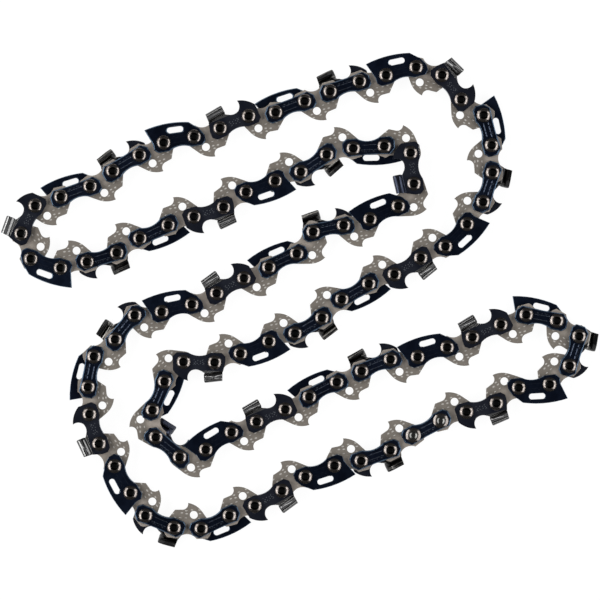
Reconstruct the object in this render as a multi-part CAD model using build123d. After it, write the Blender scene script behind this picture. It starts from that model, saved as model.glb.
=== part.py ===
from build123d import *
import math
import os

import numpy as np

# Low-profile saw chain, closed into a loop and lying flat on its side.
# Sizes are in mm. +Z is up. The right-hand side of the chain faces up.
# Each link is drawn in its own frame: u runs forward, in the cutting direction,
# v points out of the loop, and w points up, with w = 0 in the chain's middle plane.

# Pitch and rivet spacings
PITCH = 9.525                   # half the distance over three rivets in a row
DRIVE_SPACING = 8.89            # rivet to rivet in a drive link
STRAP_SPACING = 2 * PITCH - DRIVE_SPACING

# Sheet thicknesses and running gap
DRIVE_THICKNESS = 1.3           # fits the bar groove
STRAP_THICKNESS = 1.25
SIDE_GAP = 0.05                 # drive link to each strap
STRAP_INNER = DRIVE_THICKNESS / 2 + SIDE_GAP
STRAP_OUTER = STRAP_INNER + STRAP_THICKNESS

# Rivets
HUB_RADIUS = 2.35               # the drive link turns on the hub
HUB_CLEARANCE = 0.05
TENON_RADIUS = 1.6              # goes through the strap
TENON_CLEARANCE = 0.02
HEAD_RADIUS = 2.3
HEAD_RIM = 0.15                 # height of the head's outer edge
HEAD_HEIGHT = 0.7
HEAD_ROUND = 0.16               # the head's shoulder is this much lower than its crest
CREST_RADIUS = 1.35             # highest ring of the spun head
DISH_RADIUS = 1.2               # rim of the dish in the middle of the head
DISH_RIM_DROP = 0.04            # from the crest to the dish's rim
DISH_FLOOR_RADIUS = 0.75
DISH_DEPTH = 0.75
JOINING_HEAD_RADIUS = 2.45      # the joining rivets are spun by hand, wider and flatter
JOINING_HEAD_HEIGHT = 0.6
JOINING_DISH_DEPTH = 0.25

# Eyes of the straps, measured from the rivet's centre
EYE_REACH = 3.52                # to the end of the strap
EYE_FOOT = 3.1                  # to the edge on the bar side
EYE_HEAD = 2.7                  # to the edge on the cutting side
END_TOP = 0.9                   # the straight end runs from here
END_LOW = 1.9                   # to here, below the rivet's centre
FOOT_CORNER = 2.25              # flat of the foot, along the strap
HEAD_CORNER = 1.8               # flat of the head, along the strap
HOLLOW_INSET = 1.4              # the hollow starts this far inside the rivet
HOLLOW_TOP = 2.05               # top of the hollow on the bar side, below the rivets' line
STRAP_BACK = 2.42               # mid edge of a tie strap on the cutting side

# Coined recess on the outer face of a tie strap
RECESS_LENGTH = 5.0
RECESS_WIDTH = 1.7
RECESS_DEPTH = 0.12

# Bumper strap
BUMPER_CROWN = (-0.3, 5.8)      # highest point of the bumper
BUMPER_NOSE = (-5.45, 5.15)     # from the rear rivet
BUMPER_BROW = (-0.87, 5.05)     # from the front rivet
BUMPER_BREAST = (0.5, 3.8)      # bends of the front edge, from the front rivet
BUMPER_NECK = (2.25, 2.3)
SLOT_LENGTH = 5.35
SLOT_WIDTH = 1.9
SLOT_CENTRE = (-0.62, 3.42)
SLOT_TILT = -3                  # degrees

# Cutter
TOOTH_REAR = -2.65              # from the rear rivet
TOOTH_LENGTH = 6.6
TOOTH_RISE = 0.85               # from the heel to the cutting edge
TOOTH_TOP = 6.02                # top plate at the heel
TOOTH_FOOT = 3.1                # top edge of the body under the tooth
TOOTH_ROOT = 1.0                # the tooth runs down into the body this far below the gullet
TOOTH_OUTER = 3.2               # half the width of the cut
TOP_PLATE_REACH = 0.9           # how far the top plate passes the middle plane in front
HEEL_EDGE = 0.8                 # at the heel it stops this far short of the middle plane
TOP_CORNER_RADIUS = 0.65        # on the middle line of the bent sheet
BOW_START = 2.7                 # the side plate bows out from here
BOW_END = 4.4                   # to here
TOP_PLATE_ANGLE = 35            # degrees, slant of the cutting edge
CUTTING_FOOT = 4.9              # foot of the ground front edge, from the rear rivet
GRIND_HOLLOW = (-1.55, 5.1)     # middle of the hollow ground front edge, from its foot
GRIND_TOP = (-0.85, 7.4)        # where the grinding leaves the tooth, above its top
GRIND_LENGTH = 4.0              # cleared in front of the tooth
GRIND_SPARE = 1.0               # the grinding passes the top plate by this much
HEEL_LEDGE = 0.1                # the body runs back past the tooth's heel
HEEL_CORNER = (0.3, 1.3)        # corner below the ledge, inwards from the end
GULLET_REAR = 4.1               # the gullet meets the tooth's foot here, from the rear rivet
GULLET_LOW = -4.3               # lowest point of the gullet, from the front rivet
GULLET_FLOOR = 2.45
FIN_ROOT = (-2.6, 2.8)          # depth gauge, from the front rivet
FIN_HOLLOW = (-1.6, 4.05)
FIN_TIP = (-1.6, 6.15)
FIN_SHOULDER = (0.9, 5.1)
FIN_END = (3.4, 2.7)
FIN_FRONT_LOW = -1.0            # the front edge of the gauge starts at this height

# Drive link
EYE_RADIUS = 3.4                # round the rivet
EYE_BULGE = 0.5                 # the end reaches furthest at this height
SHOULDER_TOP = 3.5
SHOULDER_DROP = 0.3             # from the shoulder's inner corner to its outer corner
SHOULDER_INSET = 1.4            # shoulder's inner corner, from the rivet
SHOULDER_OUTSET = 2.1           # shoulder's outer corner, from the rivet
VALLEY = 2.0                    # between the shoulders
FLANK_ANGLE = 35                # degrees, slope of the tang's flanks
TANG_TIP = (0.15, -8.2)
TANG_REAR = (-4.6, -5.4)        # where the straight flank ends
TANG_BELLY = (-2.45, -7.3)
TANG_THROAT = (1.0, -6.2)
TANG_STEP = (1.9, -5.9)         # where the throat's hollow starts
TANG_HEEL = (4.35, -5.8)
TANG_HOLE = (-1.85, -4.35)
TANG_HOLE_RADIUS = 1.3

# The lie of the chain, walked forward from the left-hand tip.
# Each pair is one outer link and the drive link after it, as headings in degrees
# from +X towards +Y. They are whole degrees, and close_loop turns the links the little
# that closes the loop.
TOP_RUN = [(63, 19), (20, 34), (31, 27), (11, 18), (23, 8), (21, 21), (19, 13)]
RIGHT_SHOULDER = [(15, -17), (-52, -35), (-75, -88), (-108, -126), (-134, -155)]
INNER_RETURN = [(-148, -160), (-150, -137), (-150, -163), (-157, -161)]
INNER_TURN = [(179, -134), (-113, -83), (-40, 16)]
MIDDLE_RUN = [(34, 23), (23, 28), (28, 24), (22, 5), (18, 22), (24, 21)]
RIGHT_TIP = [(-11, -35), (-108, -137), (-174, -145)]
LOWER_RUN = [(-164, -161), (-152, -147), (-160, -170), (-159, -149), (-151, -159)]
LOWER_LEFT_BEND = [(-155, 178), (157, 123), (121, 125), (108, 93), (79, 39)]
UPPER_RETURN = [(51, 7), (14, 24), (29, 24), (26, 53), (12, 13)]
HOOK_BEND = [(25, 55), (96, 166)]
TIP_RETURN = [(-176, -167), (-146, -161), (-159, -146), (-162, -162), (-155, -148), (-163, -167)]
LEFT_TIP = [(163, 111)]
CLOSING_ROUNDS = 6
LIE = (TOP_RUN + RIGHT_SHOULDER + INNER_RETURN + INNER_TURN + MIDDLE_RUN + RIGHT_TIP + LOWER_RUN
       + LOWER_LEFT_BEND + UPPER_RETURN + HOOK_BEND + TIP_RETURN + LEFT_TIP)

# Pairs of drive links, one on each strand of the left-hand end, that swing side by side.
# The second of a pair runs back exactly along the first, so the loop stays closed.
SWING_PAIRS = [(0, 46), (1, 47), (3, 48), (6, 50)]
SWINGING_STATIONS = [0, 1, 2, 3, 4, 5, 6, 47, 48, 49, 50, 51]
SWINGING_DRIVES = [0, 1, 2, 3, 4, 5, 6, 46, 47, 48, 49, 50, 51]

# The outer links repeat: right cutter, left bumper, left cutter, right bumper.
# One of them has no bumper: there the loop was joined, with two plain straps.
JOINING_STATION = 29
REPEAT = 4

REAR = -STRAP_SPACING / 2
FRONT = STRAP_SPACING / 2
LEFT_HOLE = -DRIVE_SPACING / 2
RIGHT_HOLE = DRIVE_SPACING / 2


def foot_edges():
    """Lower edge of every strap, from the rear end round the hollow to the front end."""
    hollow_rear = (REAR + HOLLOW_INSET, -EYE_FOOT)
    hollow_front = (FRONT - HOLLOW_INSET, -EYE_FOOT)
    rear = Polyline((REAR - EYE_REACH, -END_LOW), (REAR - FOOT_CORNER, -EYE_FOOT), hollow_rear)
    hollow = ThreePointArc(hollow_rear, (0, -HOLLOW_TOP), hollow_front)
    front = Polyline(hollow_front, (FRONT + FOOT_CORNER, -EYE_FOOT), (FRONT + EYE_REACH, -END_LOW))
    return rear + hollow + front


def strap_plate(top_edges):
    """One stamped strap on the right-hand side, with its two rivet holes."""
    outline = make_face(foot_edges() + top_edges)
    plate = extrude(Plane.XY.offset(STRAP_INNER) * outline, STRAP_THICKNESS)
    for u in (REAR, FRONT):
        plate -= Pos(u, 0, STRAP_INNER) * Cylinder(
            TENON_RADIUS + TENON_CLEARANCE, 3 * STRAP_THICKNESS)
    return plate


def tie_strap():
    """Plain strap: chamfered ends, slightly hollow back, coined recess on the outer face."""
    front = Polyline(
        (FRONT + EYE_REACH, -END_LOW),
        (FRONT + EYE_REACH, END_TOP),
        (FRONT + HEAD_CORNER, EYE_HEAD))
    back = ThreePointArc(
        (FRONT + HEAD_CORNER, EYE_HEAD), (0, STRAP_BACK), (REAR - HEAD_CORNER, EYE_HEAD))
    rear = Polyline(
        (REAR - HEAD_CORNER, EYE_HEAD),
        (REAR - EYE_REACH, END_TOP),
        (REAR - EYE_REACH, -END_LOW))
    recess = extrude(
        Plane.XY.offset(STRAP_OUTER - RECESS_DEPTH) * SlotOverall(RECESS_LENGTH, RECESS_WIDTH),
        RECESS_DEPTH)
    return strap_plate(front + back + rear) - recess


def bumper_strap():
    """Strap with a slotted bumper and a nose that reaches back over the link behind."""
    nose = (REAR + BUMPER_NOSE[0], BUMPER_NOSE[1])
    brow = (FRONT + BUMPER_BROW[0], BUMPER_BROW[1])
    breast = (FRONT + BUMPER_BREAST[0], BUMPER_BREAST[1])
    neck = (FRONT + BUMPER_NECK[0], BUMPER_NECK[1])
    front = Polyline(
        (FRONT + EYE_REACH, -END_LOW),
        (FRONT + EYE_REACH, 0),
        neck,
        breast,
        brow)
    back = ThreePointArc(brow, BUMPER_CROWN, nose)
    rear = Polyline(
        nose,
        (REAR - EYE_REACH, 0),
        (REAR - EYE_REACH, -END_LOW))
    slot = Pos(SLOT_CENTRE[0], SLOT_CENTRE[1]) * Rot(0, 0, SLOT_TILT) * SlotOverall(
        SLOT_LENGTH, SLOT_WIDTH)
    cut = extrude(Plane.XY.offset(STRAP_INNER) * slot, STRAP_THICKNESS)
    return strap_plate(front + back + rear) - cut


def cutter_body():
    """Flat body of a cutter: gullet, depth gauge in front and foot of the tooth behind."""
    tip = (FRONT + FIN_TIP[0], FIN_TIP[1])
    shoulder = (FRONT + FIN_SHOULDER[0], FIN_SHOULDER[1])
    fin_end = (FRONT + FIN_END[0], FIN_END[1])
    fin_root = (FRONT + FIN_ROOT[0], FIN_ROOT[1])
    fin_hollow = (FRONT + FIN_HOLLOW[0], FIN_HOLLOW[1])
    tooth_root = (REAR + GULLET_REAR, TOOTH_FOOT)
    front = Polyline(
        (FRONT + EYE_REACH, -END_LOW), (FRONT + EYE_REACH, FIN_FRONT_LOW), fin_end)
    crown = ThreePointArc(fin_end, shoulder, tip)
    fin_back = ThreePointArc(tip, fin_hollow, fin_root)
    gullet = ThreePointArc(fin_root, (FRONT + GULLET_LOW, GULLET_FLOOR), tooth_root)
    rear = Polyline(
        tooth_root,
        (REAR + TOOTH_REAR - HEEL_LEDGE, TOOTH_FOOT),
        (REAR - EYE_REACH + HEEL_CORNER[0], HEEL_CORNER[1]),
        (REAR - EYE_REACH, 0),
        (REAR - EYE_REACH, -END_LOW))
    return strap_plate(front + crown + fin_back + gullet + rear)


def tooth_section():
    """Cross-section of the tooth: side plate bowed outwards, then bent over the chain."""
    half = STRAP_THICKNESS / 2
    inner = STRAP_INNER + half
    outer = TOOTH_OUTER - half
    top = TOOTH_TOP - half
    mid_w = (inner + outer) / 2
    mid_v = (BOW_START + BOW_END) / 2
    foot = Line((inner, GULLET_FLOOR - TOOTH_ROOT), (inner, BOW_START))
    bow_out = TangentArc((inner, BOW_START), (mid_w, mid_v), tangent=(0, 1))
    bow_up = TangentArc((outer, BOW_END), (mid_w, mid_v), tangent=(0, -1))
    side = Line((outer, BOW_END), (outer, top - TOP_CORNER_RADIUS))
    corner = TangentArc(
        (outer, top - TOP_CORNER_RADIUS), (outer - TOP_CORNER_RADIUS, top), tangent=(0, 1))
    plate = Line((outer - TOP_CORNER_RADIUS, top), (-TOP_PLATE_REACH, top))
    return trace(foot + bow_out + bow_up + side + corner + plate, STRAP_THICKNESS)


def right_cutter():
    """Right-hand cutter: body and tooth in one piece, the cutting edge ground aslant."""
    heel = Plane(origin=(REAR + TOOTH_REAR, 0, 0), x_dir=(0, 0, 1), z_dir=(-1, 0, 0))
    rise = Vector(TOOTH_LENGTH, TOOTH_RISE, 0)
    tooth = extrude(heel * tooth_section(), rise.length, dir=rise.normalized())
    foot = (REAR + CUTTING_FOOT, TOOTH_FOOT)
    hollow = (foot[0] + GRIND_HOLLOW[0], GRIND_HOLLOW[1])
    crest = (foot[0] + GRIND_TOP[0], GRIND_TOP[1])
    clear = foot[0] + GRIND_LENGTH
    hook = ThreePointArc(crest, hollow, foot)
    mouth = Polyline(foot, (clear, TOOTH_FOOT), (clear, GRIND_TOP[1]), crest)
    slant = Vector(-math.tan(math.radians(TOP_PLATE_ANGLE)), 0, -1)
    depth = TOOTH_OUTER + TOP_PLATE_REACH + GRIND_SPARE
    ground = extrude(
        Plane.XY.offset(TOOTH_OUTER) * make_face(hook + mouth),
        depth * slant.length,
        dir=slant.normalized())
    heel_u = REAR + TOOTH_REAR
    taper = extrude(
        Plane.XZ * make_face(Polyline(
            (heel_u, HEEL_EDGE),
            (heel_u + TOOTH_LENGTH, -TOP_PLATE_REACH),
            (heel_u, -TOP_PLATE_REACH),
            (heel_u, HEEL_EDGE))),
        2 * TOOTH_TOP,
        both=True)
    return cutter_body() + tooth - ground - taper


def drive_link():
    """Drive link: two shoulders, two eyes and the hooked tang with its hole."""
    flank = Vector(math.cos(math.radians(FLANK_ANGLE)), -math.sin(math.radians(FLANK_ANGLE)))
    right_flank = (RIGHT_HOLE + EYE_RADIUS * flank.X, EYE_RADIUS * flank.Y)
    left_flank = (LEFT_HOLE - EYE_RADIUS * flank.X, EYE_RADIUS * flank.Y)
    right_top = (RIGHT_HOLE + SHOULDER_OUTSET, SHOULDER_TOP - SHOULDER_DROP)
    left_top = (LEFT_HOLE - SHOULDER_OUTSET, SHOULDER_TOP - SHOULDER_DROP)
    right_in = (RIGHT_HOLE - SHOULDER_INSET, SHOULDER_TOP)
    left_in = (LEFT_HOLE + SHOULDER_INSET, SHOULDER_TOP)
    outline = make_face(
        ThreePointArc(left_flank, (LEFT_HOLE - EYE_RADIUS, EYE_BULGE), left_top)
        + Line(left_top, left_in)
        + ThreePointArc(left_in, (0, VALLEY), right_in)
        + Line(right_in, right_top)
        + ThreePointArc(right_top, (RIGHT_HOLE + EYE_RADIUS, EYE_BULGE), right_flank)
        + Polyline(right_flank, TANG_HEEL, TANG_STEP)
        + ThreePointArc(TANG_STEP, TANG_THROAT, TANG_TIP)
        + ThreePointArc(TANG_TIP, TANG_BELLY, TANG_REAR)
        + Line(TANG_REAR, left_flank))
    link = extrude(outline, DRIVE_THICKNESS / 2, both=True)
    for u in (LEFT_HOLE, RIGHT_HOLE):
        link -= Pos(u, 0, 0) * Cylinder(HUB_RADIUS + HUB_CLEARANCE, 2 * DRIVE_THICKNESS)
    link -= Pos(*TANG_HOLE) * Cylinder(TANG_HOLE_RADIUS, 2 * DRIVE_THICKNESS)
    return link


def rivet(head_radius, head_height, dish_depth):
    """Shouldered rivet, turned about w, with a spun, dished head at each end."""
    crown = STRAP_OUTER + head_height
    half = (
        Polyline(
            (0, 0),
            (HUB_RADIUS, 0),
            (HUB_RADIUS, STRAP_INNER),
            (TENON_RADIUS, STRAP_INNER),
            (TENON_RADIUS, STRAP_OUTER),
            (head_radius, STRAP_OUTER),
            (head_radius, STRAP_OUTER + HEAD_RIM))
        + ThreePointArc(
            (head_radius, STRAP_OUTER + HEAD_RIM),
            ((head_radius + CREST_RADIUS) / 2, crown - HEAD_ROUND),
            (CREST_RADIUS, crown))
        + Polyline(
            (CREST_RADIUS, crown),
            (DISH_RADIUS, crown - DISH_RIM_DROP),
            (DISH_FLOOR_RADIUS, crown - dish_depth),
            (0, crown - dish_depth),
            (0, 0)))
    upper = revolve(Plane.XZ * make_face(half), Axis.Z)
    return upper + mirror(upper, Plane.XY)


def close_loop(headings, lengths, free):
    """Turn the free links a little, by the least amount in all, until the walk closes."""
    angles = np.radians(headings)
    for _ in range(CLOSING_ROUNDS):
        steps = np.array([lengths * np.cos(angles), lengths * np.sin(angles)])
        slopes = np.array([-steps[1], steps[0]])[:, free]
        angles[free] -= np.linalg.pinv(slopes) @ steps.sum(axis=1)
    return angles


def lay_chain():
    """Middle point and heading of every outer link and every drive link, walked in turn."""
    headings = np.array(LIE, dtype=float).ravel()
    lengths = np.array([STRAP_SPACING, DRIVE_SPACING] * len(LIE))
    free = np.ones(len(headings), dtype=bool)
    for first, second in SWING_PAIRS:
        headings[2 * second + 1] = headings[2 * first + 1] + 180
        free[[2 * first + 1, 2 * second + 1]] = False
    angles = close_loop(headings, lengths, free)
    steps = np.stack([lengths * np.cos(angles), lengths * np.sin(angles)], axis=1)
    rivets = np.cumsum(steps, axis=0) - steps
    middles = rivets + steps / 2
    places = [Pos(*middle) * Rot(0, 0, math.degrees(angle)) for middle, angle in zip(middles, angles)]
    return places[0::2], places[1::2]


def station_pieces(station, shapes):
    """Name and shape of the two straps at one station, right-hand side first."""
    if station == JOINING_STATION:
        return [("joining_straps", shapes["right_tie"]), ("joining_straps", shapes["left_tie"])]
    kind = station % REPEAT
    if kind == 0:
        return [("right_cutters", shapes["right_cutter"]), ("tie_straps", shapes["left_tie"])]
    if kind == 1:
        return [("tie_straps", shapes["right_tie"]), ("left_bumpers", shapes["left_bumper"])]
    if kind == 2:
        return [("tie_straps", shapes["right_tie"]), ("left_cutters", shapes["left_cutter"])]
    return [("right_bumpers", shapes["right_bumper"]), ("tie_straps", shapes["left_tie"])]


def link_shapes():
    """One of each piece, in the link's own frame. Left-hand pieces mirror right-hand ones."""
    tie = tie_strap()
    bumper = bumper_strap()
    cutter = right_cutter()
    return {
        "right_tie": tie,
        "left_tie": mirror(tie, Plane.XY),
        "right_bumper": bumper,
        "left_bumper": mirror(bumper, Plane.XY),
        "right_cutter": cutter,
        "left_cutter": mirror(cutter, Plane.XY),
        "drive": drive_link(),
        "rivet": rivet(HEAD_RADIUS, HEAD_HEIGHT, DISH_DEPTH),
        "joining_rivet": rivet(JOINING_HEAD_RADIUS, JOINING_HEAD_HEIGHT, JOINING_DISH_DEPTH),
    }


def build_chain():
    """Every node of the loop as a list of placed solids, by name."""
    shapes = link_shapes()
    outer_places, drive_places = lay_chain()
    nodes = {}
    for station, place in enumerate(outer_places):
        swings = station in SWINGING_STATIONS
        for group, shape in station_pieces(station, shapes):
            name = f"{group[:-1]}_{station:02d}" if swings else group
            nodes.setdefault(name, []).append(place * shape)
        joining = station == JOINING_STATION
        group = "joining_rivets" if joining else "rivets"
        name = f"rivets_{station:02d}" if swings else group
        shape = shapes["joining_rivet"] if joining else shapes["rivet"]
        for u in (REAR, FRONT):
            nodes.setdefault(name, []).append(place * Pos(u, 0, 0) * shape)
    for number, place in enumerate(drive_places):
        name = f"drive_link_{number:02d}" if number in SWINGING_DRIVES else "drive_links"
        nodes.setdefault(name, []).append(place * shapes["drive"])
    return nodes


def centre_on_base(nodes):
    """Shift everything so that the origin is under the middle of the loop, on its lowest plane."""
    boxes = [solid.bounding_box() for group in nodes.values() for solid in group]
    middle_x = (min(box.min.X for box in boxes) + max(box.max.X for box in boxes)) / 2
    middle_y = (min(box.min.Y for box in boxes) + max(box.max.Y for box in boxes)) / 2
    shift = Pos(-middle_x, -middle_y, TOOTH_OUTER)
    return {name: [shift * solid for solid in group] for name, group in nodes.items()}


os.makedirs("parts", exist_ok=True)
for name, solids in centre_on_base(build_chain()).items():
    export_step(Compound(solids), f"parts/{name}.step")
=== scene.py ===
import bpy
import numpy as np
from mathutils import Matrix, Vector

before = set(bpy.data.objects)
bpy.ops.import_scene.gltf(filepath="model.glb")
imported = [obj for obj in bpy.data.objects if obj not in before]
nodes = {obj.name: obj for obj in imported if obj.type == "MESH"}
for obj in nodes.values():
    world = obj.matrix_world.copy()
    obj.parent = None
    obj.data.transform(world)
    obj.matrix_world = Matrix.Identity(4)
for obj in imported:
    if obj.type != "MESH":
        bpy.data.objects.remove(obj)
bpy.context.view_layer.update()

# The loop was photographed flat on a table from straight above, with a long lens, so that
# every link is seen square on. The lens takes in the whole loop and a hair of white round it.
VIEW_HEIGHT = 1.5
VIEW_WIDTH = 0.19616
CHAIN_MIDDLE = 0.0032
VIEW_CENTRE = (-0.00001, 0.00012)
FILM_WIDTH = 36.0

camera = bpy.data.cameras.new("camera above the loop")
camera.sensor_width = FILM_WIDTH
camera.lens = FILM_WIDTH * (VIEW_HEIGHT - CHAIN_MIDDLE) / VIEW_WIDTH
camera.clip_start = 0.05
camera_stand = bpy.data.objects.new("camera_above_the_loop", camera)
camera_stand.location = (*VIEW_CENTRE, VIEW_HEIGHT)
bpy.context.scene.collection.objects.link(camera_stand)
bpy.context.scene.camera = camera_stand
bpy.context.scene.view_settings.view_transform = "Standard"


# The table top is a smooth white board. It is lit softly, shows the chain's faint shadow, and
# mirrors as white in the chain's chrome and steel.
TABLE_SIZE = 3.0
TABLE_WHITE = (0.8, 0.8, 0.8, 1)
TABLE_SHOWN = (0.10, 0.10, 0.10, 1)
TABLE_GLOW = 0.94


class Shade:
    """A value in a finish, on which ordinary arithmetic adds Math nodes."""

    def __init__(self, finish, socket):
        self.finish, self.socket = finish, socket

    def math(self, operation, *terms):
        return self.finish.node("ShaderNodeMath", {"operation": operation}, dict(enumerate(terms)))

    def __add__(self, other):
        return self.math("ADD", self, other)

    def __radd__(self, other):
        return self.math("ADD", other, self)

    def __sub__(self, other):
        return self.math("SUBTRACT", self, other)

    def __rsub__(self, other):
        return self.math("SUBTRACT", other, self)

    def __mul__(self, other):
        return self.math("MULTIPLY", self, other)

    def __rmul__(self, other):
        return self.math("MULTIPLY", other, self)

    def __abs__(self):
        return self.math("ABSOLUTE", self)

    def root(self):
        return self.math("SQRT", self)

    def rise(self, start, end):
        """0 before start, 1 after end, and smooth between them."""
        ends = {"Value": self, "From Min": start, "From Max": end}
        return self.finish.node("ShaderNodeMapRange", {"interpolation_type": "SMOOTHSTEP"}, ends)

    def fall(self, start, end):
        return 1 - self.rise(start, end)

    def band(self, low, high, soft):
        """1 between low and high, with soft sides of the given width."""
        return self.rise(low - soft, low) * self.fall(high, high + soft)


class Finish:
    """The nodes of one material, or of the world."""

    def __init__(self, owner):
        self.owner = owner
        owner.use_nodes = True
        self.tree = owner.node_tree
        self.tree.nodes.clear()

    def node(self, kind, settings=None, sockets=None, out=0):
        """Add a node: its settings first, then the values or links of its sockets."""
        made = self.tree.nodes.new(kind)
        for name, value in (settings or {}).items():
            setattr(made, name, value)
        for name, value in (sockets or {}).items():
            if isinstance(value, Shade):
                self.tree.links.new(value.socket, made.inputs[name])
            else:
                made.inputs[name].default_value = value
        return Shade(self, made.outputs[out])

    def mix(self, share, first, second):
        """A colour between two others."""
        return self.node("ShaderNodeMix", {"data_type": "RGBA"}, {0: share, 6: first, 7: second}, out=2)

    def end(self, surface):
        """Make this the look of the material, or of the world."""
        whole = "World" if isinstance(self.owner, bpy.types.World) else "Material"
        last = self.tree.nodes.new(f"ShaderNodeOutput{whole}")
        self.tree.links.new(surface.socket, last.inputs["Surface"])


def white_board():
    """White paint, which any ray that sees or mirrors it takes as plain white."""
    board = Finish(bpy.data.materials.new("white board"))
    seen = board.node("ShaderNodeLightPath", out="Is Camera Ray")
    for way in ("Is Glossy Ray", "Is Transmission Ray"):
        seen = seen.math("MAXIMUM", seen, board.node("ShaderNodeLightPath", out=way))
    paint = board.node("ShaderNodeBsdfDiffuse", {}, {"Color": board.mix(seen, TABLE_WHITE, TABLE_SHOWN)})
    glow = board.node("ShaderNodeEmission", {}, {"Strength": seen * TABLE_GLOW})
    board.end(board.node("ShaderNodeAddShader", {}, {0: paint, 1: glow}))
    return board.owner


def square_sheet(name, side, height):
    """A flat square, centred on the vertical axis."""
    sheet = bpy.data.meshes.new(name)
    half = side / 2
    corners = [(-half, -half, height), (half, -half, height), (half, half, height), (-half, half, height)]
    sheet.from_pydata(corners, [], [(0, 1, 2, 3)])
    return bpy.data.objects.new(name, sheet)


table = square_sheet("table_top", TABLE_SIZE, 0.0)
table.data.materials.append(white_board())
bpy.context.scene.collection.objects.link(table)


# The studio light is a pair of long white panels, low at the left and the right of the table.
# The room is dim overhead and darker all round, which the chain's steel mirrors.
PANEL_WIDTH = 3.4
PANEL_HEIGHT = 1.5
PANEL_DISTANCE = 2.4
PANEL_DIRECTIONS = [(-0.80, 0.08, 0.60), (0.80, -0.08, 0.60)]
PANEL_POWERS = [74.0, 56.0]
CEILING = (0.12, 0.12, 0.125, 1)
WALLS = (0.07, 0.07, 0.07, 1)
CEILING_FADE = (0.3, 0.95)


def room():
    """A dim ceiling above darker walls."""
    walls = Finish(bpy.data.worlds.new("studio room"))
    height = walls.node("ShaderNodeSeparateXYZ", {}, {0: walls.node("ShaderNodeTexCoord", out=0)}, out=2)
    shade = walls.mix(height.rise(*CEILING_FADE), WALLS, CEILING)
    walls.end(walls.node("ShaderNodeBackground", {}, {"Color": shade}))
    return walls.owner


def light_panel(name, direction, power):
    """A wide lamp that faces the middle of the table."""
    lamp = bpy.data.lights.new(name, "AREA")
    lamp.shape = "RECTANGLE"
    lamp.size = PANEL_WIDTH
    lamp.size_y = PANEL_HEIGHT
    lamp.energy = power
    stand = bpy.data.objects.new(name, lamp)
    stand.location = Vector(direction).normalized() * PANEL_DISTANCE
    stand.rotation_euler = Vector(direction).to_track_quat("Z", "Y").to_euler()
    bpy.context.scene.collection.objects.link(stand)


bpy.context.scene.world = room()
for number, (direction, power) in enumerate(zip(PANEL_DIRECTIONS, PANEL_POWERS), 1):
    light_panel(f"light_panel_{number}", direction, power)


# Each rivet is a turned steel pin that goes through a drive link and two outer links. Its ends
# are spun over into rings round a dished middle. The two joining rivets have plainer heads.
MM = 1000.0
RIVET_SILVER = (0.25, 0.225, 0.21, 1)
RIVET_DARK = (0.10, 0.085, 0.075, 1)
# Painted shade: the dark colours of the dished middles stand for the shade in those hollows.
RIVET_DISH_SHADE = (0.025, 0.025, 0.025, 1)
JOINING_SILVER = (0.20, 0.185, 0.175, 1)
JOINING_DISH_SHADE = (0.13, 0.13, 0.125, 1)
DISH_EDGE = (1.24, 1.42)
SPIN_MARK_SIZE = 0.09
SPIN_MARK_DEPTH = 0.012
STAIN_SIZE = 0.5
APART = 40.0
SAME_POINT_DIGITS = 7
CLOUD_DETAIL = 3.0
CHANCE_SEED = 52


def joined_edges(mesh, points):
    """A number for each point, the same where points coincide, and those of each edge's ends."""
    edges = np.empty(len(mesh.edges) * 2, int)
    mesh.edges.foreach_get("vertices", edges)
    corner = np.unique(np.round(points, SAME_POINT_DIGITS), axis=0, return_inverse=True)[1].ravel()
    return corner, np.sort(corner[edges.reshape(-1, 2)])


def solids_of(name):
    """A node's points in metres, and the number of the solid that each belongs to."""
    mesh = nodes[name].data
    points = np.empty(len(mesh.vertices) * 3)
    mesh.vertices.foreach_get("co", points)
    points = points.reshape(-1, 3)
    corner, pairs = joined_edges(mesh, points)
    one, other = pairs.T
    lowest = np.arange(corner.max() + 1)
    while True:
        reached = lowest.copy()
        np.minimum.at(reached, one, lowest[other])
        np.minimum.at(reached, other, lowest[one])
        reached = reached[reached]
        if (reached == lowest).all():
            return points, np.unique(lowest[corner], return_inverse=True)[1].ravel()
        lowest = reached


def write_places(name, places, chances):
    """Give a node's points their places on their own link or rivet, and a chance number each."""
    mesh = nodes[name].data
    mesh.attributes.new("place", "FLOAT_VECTOR", "POINT").data.foreach_set("vector", places.ravel())
    mesh.attributes.new("chance", "FLOAT", "POINT").data.foreach_set("value", chances)


def own_place(finish):
    """A point's place on its own link or rivet in millimetres, and the first two parts of it."""
    place = finish.node("ShaderNodeAttribute", {"attribute_name": "place"}, {}, out="Vector")
    parts = [finish.node("ShaderNodeSeparateXYZ", {}, {0: place}, out=axis) for axis in "XY"]
    return place, *parts


def own_chance(finish):
    """A number from 0 to 1 that differs from link to link and from rivet to rivet."""
    return finish.node("ShaderNodeAttribute", {"attribute_name": "chance"}, {}, out="Fac")


def cloud(finish, place, size):
    """Cloudy noise about 0 to 1, with patches of about the given size in millimetres."""
    sockets = {"Vector": place, "Scale": 1 / size, "Detail": CLOUD_DETAIL}
    return finish.node("ShaderNodeTexNoise", {"noise_dimensions": "3D"}, sockets)


def raise_surface(finish, height):
    """A normal from a height in millimetres."""
    return finish.node("ShaderNodeBump", {}, {"Height": height, "Strength": 1.0, "Distance": 1 / MM})


def dressed(name, *materials):
    """Put the materials in a node's slots in place of its plain one."""
    slots = nodes[name].data.materials
    slots.clear()
    for material in materials:
        slots.append(material)


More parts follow.
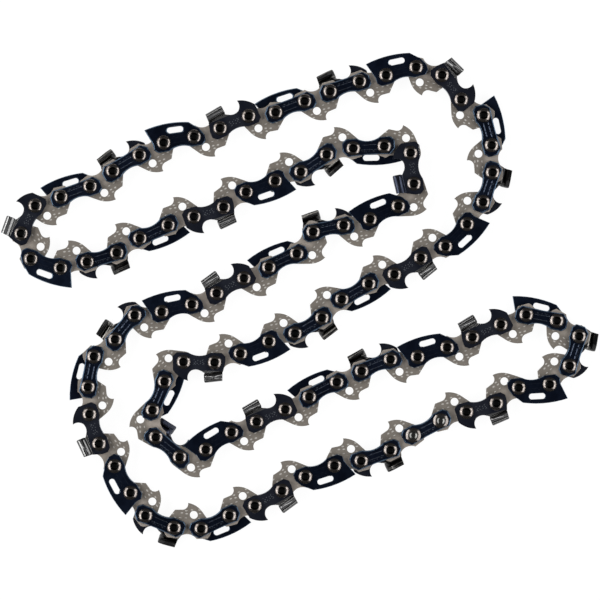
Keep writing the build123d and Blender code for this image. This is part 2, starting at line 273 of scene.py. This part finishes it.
def rivet_steel(name, silver, dish):
    """Turned steel: a bright ring with spinning marks round a dished middle painted dark as shade."""
    steel = Finish(bpy.data.materials.new(name))
    place, across, along = own_place(steel)
    radius = (across * across + along * along).root()
    turned = steel.node("ShaderNodeCombineXYZ", {}, {0: radius, 1: own_chance(steel) * APART})
    marks = cloud(steel, turned, SPIN_MARK_SIZE)
    stain = cloud(steel, place, STAIN_SIZE).rise(0.3, 0.7)
    # Painted shade: inside the dish edge the colour turns dark.
    colour = steel.mix(radius.fall(*DISH_EDGE), steel.mix(stain, silver, RIVET_DARK), dish)
    shader = steel.node("ShaderNodeBsdfPrincipled", {}, {
        "Base Color": colour,
        "Metallic": 1.0,
        "Roughness": 0.15 + 0.10 * stain,
        "Normal": raise_surface(steel, marks * SPIN_MARK_DEPTH),
    })
    steel.end(shader)
    return steel.owner


rivet_nodes = sorted(name for name in nodes if name.startswith("rivets"))
spun_steel = rivet_steel("spun rivet steel", RIVET_SILVER, RIVET_DISH_SHADE)
joining_steel = rivet_steel("joining rivet steel", JOINING_SILVER, JOINING_DISH_SHADE)
chance_of = np.random.default_rng(CHANCE_SEED)
rivet_axes = []
for name in [*rivet_nodes, "joining_rivets"]:
    points, solid = solids_of(name)
    middles = np.array([
        (points[solid == one, :2].min(0) + points[solid == one, :2].max(0)) / 2
        for one in range(solid.max() + 1)
    ])
    rivet_axes.extend(middles)
    places = points.copy()
    places[:, :2] -= middles[solid]
    write_places(name, places * MM, chance_of.random(len(middles))[solid])
    dressed(name, joining_steel if name == "joining_rivets" else spun_steel)
rivet_axes = np.array(rivet_axes)


# Drive links are stamped from 1.3 mm spring steel and left bare, a warm matt grey. A hooked tang
# with a round hole rides in the bar's groove, and rows of small pricks are struck into it.
DRIVE_GREY = (0.190, 0.168, 0.143, 1)
DRIVE_DARK = (0.140, 0.123, 0.104, 1)
# Painted light that lightens the waist between the straps, where they shade it.
DRIVE_WAIST_LIGHT = (0.34, 0.30, 0.26, 1)
PRICK_BRIGHT = (0.50, 0.48, 0.45, 1)
WAIST_LIGHT_FADE = (-3.4, -1.4)
PRICK_SPACING = 1.25
PRICK_STRETCH = 0.6
PRICK_EDGE = (0.14, 0.24)
PRICKED = (-7.0, -3.3)
PRICK_DEPTH = 0.05
BARE_PATCH_SIZE = 2.6
TUMBLED_GRAIN_SIZE = 0.16
DRIVE_RIM = 0.1
FLAT_SLOPE = 0.98
WALL_SLOPE = 0.3
JOINING_DISTANCE = 1e-6
FLATTEST_BEND = 1.0
RIM_STEPS = 3

drive_nodes = sorted(name for name in nodes if name.startswith("drive_link"))
tang_middles = []
for name in drive_nodes:
    points, solid = solids_of(name)
    tang_middles.extend(points[solid == one, :2].mean(0) for one in range(solid.max() + 1))
tang_middles = np.array(tang_middles)


def nearest(places, spot, count):
    """The places nearest to a spot, nearest first."""
    return places[np.argsort(np.hypot(*(places - spot).T))[:count]]


def measure_links(name):
    """Work out, for every point of a node's links, how far it is forward, out and up on its link."""
    points, solid = solids_of(name)
    places = points.copy()
    for one in range(solid.max() + 1):
        mine = solid == one
        ends = nearest(rivet_axes, points[mine, :2].mean(0), 2)
        middle = ends.mean(0)
        along = (ends[1] - ends[0]) / np.hypot(*(ends[1] - ends[0]))
        outward = np.array([-along[1], along[0]])
        inner = np.mean([nearest(tang_middles, end, 1)[0] for end in ends], axis=0) - middle
        if outward @ inner > 0:
            outward = -outward
        forward = np.array([outward[1], -outward[0]])
        offsets = points[mine, :2] - middle
        places[mine, 0] = offsets @ forward
        places[mine, 1] = offsets @ outward
        places[mine, 2] -= CHAIN_MIDDLE
    write_places(name, places * MM, chance_of.random(solid.max() + 1)[solid])


def soften_rims(name, width, slot=-1, spared=None):
    """Round the rims between a node's flat faces and its stamped walls, but not the spared ones."""
    mesh = nodes[name].data
    points = np.empty(len(mesh.vertices) * 3)
    mesh.vertices.foreach_get("co", points)
    pairs, edge = np.unique(joined_edges(mesh, points.reshape(-1, 3))[1], axis=0, return_inverse=True)
    edge = edge.ravel()
    slope = np.empty(len(mesh.polygons) * 3)
    mesh.polygons.foreach_get("normal", slope)
    slope = np.repeat(abs(slope[2::3]), 3)
    side = np.empty(len(mesh.loops), int)
    mesh.loops.foreach_get("edge_index", side)
    flat, wall = np.zeros(len(pairs), bool), np.zeros(len(pairs), bool)
    flat[edge[side[slope > FLAT_SLOPE]]] = True
    wall[edge[side[slope < WALL_SLOPE]]] = True
    rim = (flat & wall)[edge]
    if spared is not None:
        places = np.empty(len(mesh.vertices) * 3)
        mesh.attributes["place"].data.foreach_get("vector", places)
        ends = np.empty(len(mesh.edges) * 2, int)
        mesh.edges.foreach_get("vertices", ends)
        rim &= ~spared(places.reshape(-1, 3)[ends.reshape(-1, 2)]).all(axis=1)
    mesh.attributes.new("bevel_weight_edge", "FLOAT", "EDGE").data.foreach_set("value", rim.astype(float))
    joined = nodes[name].modifiers.new("joined points", "WELD")
    joined.merge_threshold = JOINING_DISTANCE
    cleared = nodes[name].modifiers.new("flat faces", "DECIMATE")
    cleared.decimate_type = "DISSOLVE"
    cleared.angle_limit = np.radians(FLATTEST_BEND)
    rounded = nodes[name].modifiers.new("stamped rims", "BEVEL")
    rounded.width = width / MM
    rounded.segments = RIM_STEPS
    rounded.limit_method = "WEIGHT"
    rounded.material = slot


def drive_steel():
    """Bare stamped steel with a fine tumbled grain and rows of bright pricks, its grey painted lighter at
    the waist as light against the straps' shade.
    """
    steel = Finish(bpy.data.materials.new("bare drive link steel"))
    place, forward, outward = own_place(steel)
    patches = cloud(steel, place, BARE_PATCH_SIZE)
    grain = cloud(steel, place, TUMBLED_GRAIN_SIZE)
    colour = steel.mix(patches.rise(0.3, 0.7) * 0.45, DRIVE_GREY, DRIVE_DARK)
    # Painted light: the grey turns lighter from the tang into the waist, which the straps shade.
    colour = steel.mix(outward.rise(*WAIST_LIGHT_FADE), colour, DRIVE_WAIST_LIGHT)
    colour = steel.mix(grain.rise(0.55, 0.8) * 0.3, colour, PRICK_BRIGHT)
    dashes = steel.node("ShaderNodeCombineXYZ", {}, {0: forward * PRICK_STRETCH, 1: outward})
    cell = {"Vector": dashes, "Scale": 1 / PRICK_SPACING, "Randomness": 0.5}
    prick = steel.node("ShaderNodeTexVoronoi", {"voronoi_dimensions": "2D"}, cell).fall(*PRICK_EDGE)
    missed = cloud(steel, place, 1.7).rise(0.36, 0.46)
    pricks = prick * outward.band(*PRICKED, 0.2) * missed
    shader = steel.node("ShaderNodeBsdfPrincipled", {}, {
        "Base Color": steel.mix(pricks * 0.85, colour, PRICK_BRIGHT),
        "Metallic": 0.35,
        "Roughness": 0.52 + 0.15 * grain,
        "Normal": raise_surface(steel, (grain * 0.4 - pricks) * PRICK_DEPTH),
    })
    steel.end(shader)
    return steel.owner


bare_steel = drive_steel()
for name in drive_nodes:
    measure_links(name)
    dressed(name, bare_steel)
    soften_rims(name, DRIVE_RIM)


# Tie straps join the drive links on the side that has no cutter or bumper. They are stamped
# spring steel, blued almost black, with a shallow coined field between the rivets.
BLUE_BLACK = (0.0125, 0.0185, 0.037, 1)
BLUE_DEEP = (0.018, 0.027, 0.053, 1)
# Painted glint, partly real: the paler blue of the rounded rims stands for the light they catch from the
# side panels, and for thinned oxide.
RIM_BLUE_WEAR_AND_GLINT = (0.10, 0.155, 0.23, 1)
# Painted highlight, partly real: the pale colour of the coined field's edge marks stands for glints there
# as well as thinned oxide.
PALE_WEAR_AND_GLINT = (0.17, 0.20, 0.25, 1)
BLUED_PATCH_SIZE = 3.0
FINE_GRAIN_SIZE = 0.12
FINE_GRAIN_DEPTH = 0.012
COINED_EDGE = 0.78
COINED_EDGE_WIDTH = (0.04, 0.18)
COINED_EDGE_DEPTH = 0.07
COINED_END = 2.5
COINED_ROOM = (2.6, 0.95)
RIVET_FORWARD = 5.08
RIVET_ROOM = 1.8
STRAP_RIM = 0.3


def blued_steel(name, wear_and_glint_amount):
    """Spring steel with a satin blue-black oxide skin.

    The second argument is how pale the edges and ends of the coined field are painted: partly thinned
    oxide, partly painted highlights.
    """
    steel = Finish(bpy.data.materials.new(name))
    place, forward, outward = own_place(steel)
    patches = cloud(steel, place, BLUED_PATCH_SIZE)
    grain = cloud(steel, place, FINE_GRAIN_SIZE)
    inside = abs(forward).fall(COINED_END - 0.2, COINED_END + 0.1)
    broken = cloud(steel, place, 0.9).rise(0.3, 0.6)
    # Painted highlights, partly real: pale lines along the coined field's edges, spots at its ends and a
    # band on its outer side stand for glints from those edges, and for thinned oxide.
    lines = abs(abs(outward) - COINED_EDGE).fall(*COINED_EDGE_WIDTH) * inside * broken * wear_and_glint_amount
    ends = abs(forward).band(COINED_END, COINED_END + 0.3, 0.12) * abs(outward).fall(0.4, 0.7)
    upper = outward.band(1.1, 1.5, 0.1) * inside
    specks = cloud(steel, place, 0.35).rise(0.55, 0.7)
    pale_wear_and_glints = lines * 0.7 + (ends + upper) * specks * wear_and_glint_amount
    colour = steel.mix(patches.rise(0.35, 0.65), BLUE_BLACK, BLUE_DEEP)
    shader = steel.node("ShaderNodeBsdfPrincipled", {}, {
        "Base Color": steel.mix(pale_wear_and_glints, colour, PALE_WEAR_AND_GLINT),
        "Metallic": 1.0,
        "Roughness": 0.24 + 0.10 * grain + 0.08 * own_chance(steel),
        "Normal": raise_surface(steel, grain * FINE_GRAIN_DEPTH + lines * COINED_EDGE_DEPTH),
    })
    steel.end(shader)
    return steel.owner


def rim_steel_wear_and_glint(name, bright):
    """The same steel along a rounded rim, painted paler: partly oxide thinned by handling, partly a
    painted glint where the rim catches the side panels.
    """
    steel = Finish(bpy.data.materials.new(name))
    pale_patches = cloud(steel, own_place(steel)[0], 1.6).rise(0.3, 0.5)
    shader = steel.node("ShaderNodeBsdfPrincipled", {}, {
        "Base Color": steel.mix(pale_patches, BLUE_DEEP, bright),
        "Metallic": 1.0,
        "Roughness": 0.30 + 0.1 * pale_patches,
    })
    steel.end(shader)
    return steel.owner


def hidden_or_coined(places):
    """True in the coined field, and round the holes, whose rims the rivet heads hide."""
    forward, outward = abs(places[..., 0]), abs(places[..., 1])
    coined = (forward < COINED_ROOM[0]) & (outward < COINED_ROOM[1])
    return coined | (np.hypot(forward - RIVET_FORWARD, outward) < RIVET_ROOM)


blued = blued_steel("blued spring steel", 1.0)
rubbed_and_glinting = rim_steel_wear_and_glint("rubbed blued rim", RIM_BLUE_WEAR_AND_GLINT)
for name in sorted(name for name in nodes if name.startswith(("tie_strap", "joining_straps"))):
    measure_links(name)
    dressed(name, blued, rubbed_and_glinting)
    soften_rims(name, STRAP_RIM, slot=1, spared=hidden_or_coined)


# Bumper straps stand in front of the cutters to keep them from grabbing. They are stamped and
# blued like the tie straps, with a raised back and a long slot.
# The bumpers get only a little of the pale edge marks, which are partly painted highlight.
BUMPER_WEAR_AND_GLINT = 0.15

blued_bumper = blued_steel("blued bumper steel", BUMPER_WEAR_AND_GLINT)
for name in sorted(name for name in nodes if "bumper" in name):
    measure_links(name)
    dressed(name, blued_bumper, rubbed_and_glinting)
    soften_rims(name, STRAP_RIM, slot=1, spared=hidden_or_coined)


# Cutters are stamped and bent from one piece: a body with a depth gauge, and a tooth that is
# hard chromed on its outer side and ground sharp. The rest is blued.
CHROME = (0.78, 0.78, 0.77, 1)
# Painted reflection and shade on the chrome: darker zones, dark lines, greyer bands and a dark bend.
CHROME_SHADE = (0.30, 0.30, 0.29, 1)
CHROME_LINE = (0.10, 0.10, 0.10, 1)
CHROME_REFLECTION_BAND = (0.36, 0.36, 0.355, 1)
CHROME_BEND_SHADE = (0.13, 0.13, 0.13, 1)
CUTTER_BLUE = (0.030, 0.035, 0.054, 1)
CUTTER_DEEP = (0.060, 0.067, 0.092, 1)
CUTTER_SPECK = (0.42, 0.46, 0.50, 1)
TOOTH_INNER_BLACK = (0.020, 0.020, 0.021, 1)
TOOTH_INNER_STREAK = (0.26, 0.25, 0.23, 1)
# Painted glint, partly real: the left cutters' rims are a pale grey-brown.
WORN_RIM_AND_GLINT = (0.17, 0.155, 0.14, 1)
SPECK_SPACING = 0.75
SPECK_EDGE = (0.12, 0.26)
CHROME_LOW = (2.75, 2.85)
CHROME_FRONT = (-1.0, -0.8)
GROUND_FRONT = 1.13
TOOTH_SLOPE = 0.129
TOOTH_ROOM = 2.9
TIP_BRIGHT_LINE = (6.15, 6.25)
TIP_DARK_LINE = (5.75, 5.85)
ROOT_BRIGHT_LINE = (4.4, 4.5)
ROOT_DARK_LINE = (3.95, 4.1)
ROOT_SHADE = (3.6, 4.2)
FLAT_FACE = (0.93, 0.995)
STREAK_SIZE = 0.35
STREAK_APART = 50.0
STREAK_DRIFT = 0.03
TOOTH_TILT = 0.08
CUTTER_RIM = 0.22


def cutter_steel(name, side):
    """Blued steel with a chromed outer side to the tooth, on which reflection lines and shade are
    painted; side is +1 for right cutters.
    """
    steel = Finish(bpy.data.materials.new(name))
    place, forward, outward = own_place(steel)
    chance = own_chance(steel)
    patches = cloud(steel, place, BLUED_PATCH_SIZE)
    grain = cloud(steel, place, FINE_GRAIN_SIZE)
    middle = abs(forward).fall(1.5, 3.5)
    navy = steel.mix(patches.rise(0.35, 0.65) * 0.4 + middle * 0.6, CUTTER_BLUE, CUTTER_DEEP)
    dot = {"Vector": place, "Scale": 1 / SPECK_SPACING, "Randomness": 0.9}
    specks = steel.node("ShaderNodeTexVoronoi", {"voronoi_dimensions": "2D"}, dot).fall(*SPECK_EDGE)
    field = abs(forward).fall(1.6, 2.2) * abs(outward).fall(0.7, 1.0)
    navy = steel.mix(specks * field * 0.7, navy, CUTTER_SPECK)

    normal = steel.node("ShaderNodeNewGeometry", out="Normal")
    facing = side * steel.node("ShaderNodeSeparateXYZ", {}, {0: normal}, out="Z")
    tooth = outward.rise(*CHROME_LOW) * forward.fall(*CHROME_FRONT)
    chromed = tooth * facing.rise(-0.1, 0.1)
    # Painted reflections: bright and dark lines along the tooth stand for the glints and dark reflections
    # of its bent plate.
    level = outward - TOOTH_SLOPE * (forward + GROUND_FRONT)
    shifted = level + (chance - 0.5) * 0.5
    tip_line = level.band(*TIP_BRIGHT_LINE, 0.12)
    reflection_bands = shifted.band(*ROOT_BRIGHT_LINE, 0.15) * chance.rise(0.55, 0.7) + tip_line
    dark = shifted.band(*ROOT_DARK_LINE, 0.1) + level.band(*TIP_DARK_LINE, 0.1)
    drawn = {0: level, 1: chance * STREAK_APART, 2: forward * STREAK_DRIFT}
    streaks = cloud(steel, steel.node("ShaderNodeCombineXYZ", {}, drawn), STREAK_SIZE)
    # Painted shade: the chrome is darker towards the tooth's root; it is also streaked darker.
    shade = streaks.rise(0.35, 0.7) * 0.6 + level.fall(*ROOT_SHADE) * 0.5
    # Painted shade: chrome that slopes away from the flat face is darkened, so that the bend mirrors the
    # side panels less.
    chrome = steel.mix(facing.rise(*FLAT_FACE), CHROME_BEND_SHADE, steel.mix(shade, CHROME, CHROME_SHADE))
    chrome = steel.mix(reflection_bands, steel.mix(dark, chrome, CHROME_LINE), CHROME_REFLECTION_BAND)
    # The tooth's faces that are not chromed are near black, with faint grey streaks.
    inner_tooth = steel.mix(streaks.rise(0.55, 0.65), TOOTH_INNER_BLACK, TOOTH_INNER_STREAK)
    relief = (chance - 0.5) * TOOTH_TILT * level * chromed + grain * FINE_GRAIN_DEPTH
    shader = steel.node("ShaderNodeBsdfPrincipled", {}, {
        "Base Color": steel.mix(chromed, steel.mix(tooth, navy, inner_tooth), chrome),
        "Metallic": 1.0,
        "Roughness": 0.28 + 0.12 * grain + chromed * (0.30 * reflection_bands - 0.18),
        "Normal": raise_surface(steel, relief),
    })
    steel.end(shader)
    return steel.owner


def hidden_or_tooth(places):
    """True on the tooth, whose edges stay sharp, and round the holes."""
    tooth = (places[..., 0] < 0) & (places[..., 1] > TOOTH_ROOM)
    return tooth | hidden_or_coined(places)


worn_and_glinting = rim_steel_wear_and_glint("worn cutter rim", WORN_RIM_AND_GLINT)
for hand, side, rim_finish in (("right", 1, rubbed_and_glinting), ("left", -1, worn_and_glinting)):
    cutter_finish = cutter_steel(f"{hand} cutter steel", side)
    for name in sorted(name for name in nodes if name.startswith(f"{hand}_cutter")):
        measure_links(name)
        dressed(name, cutter_finish, rim_finish)
        soften_rims(name, CUTTER_RIM, slot=1, spared=hidden_or_tooth)
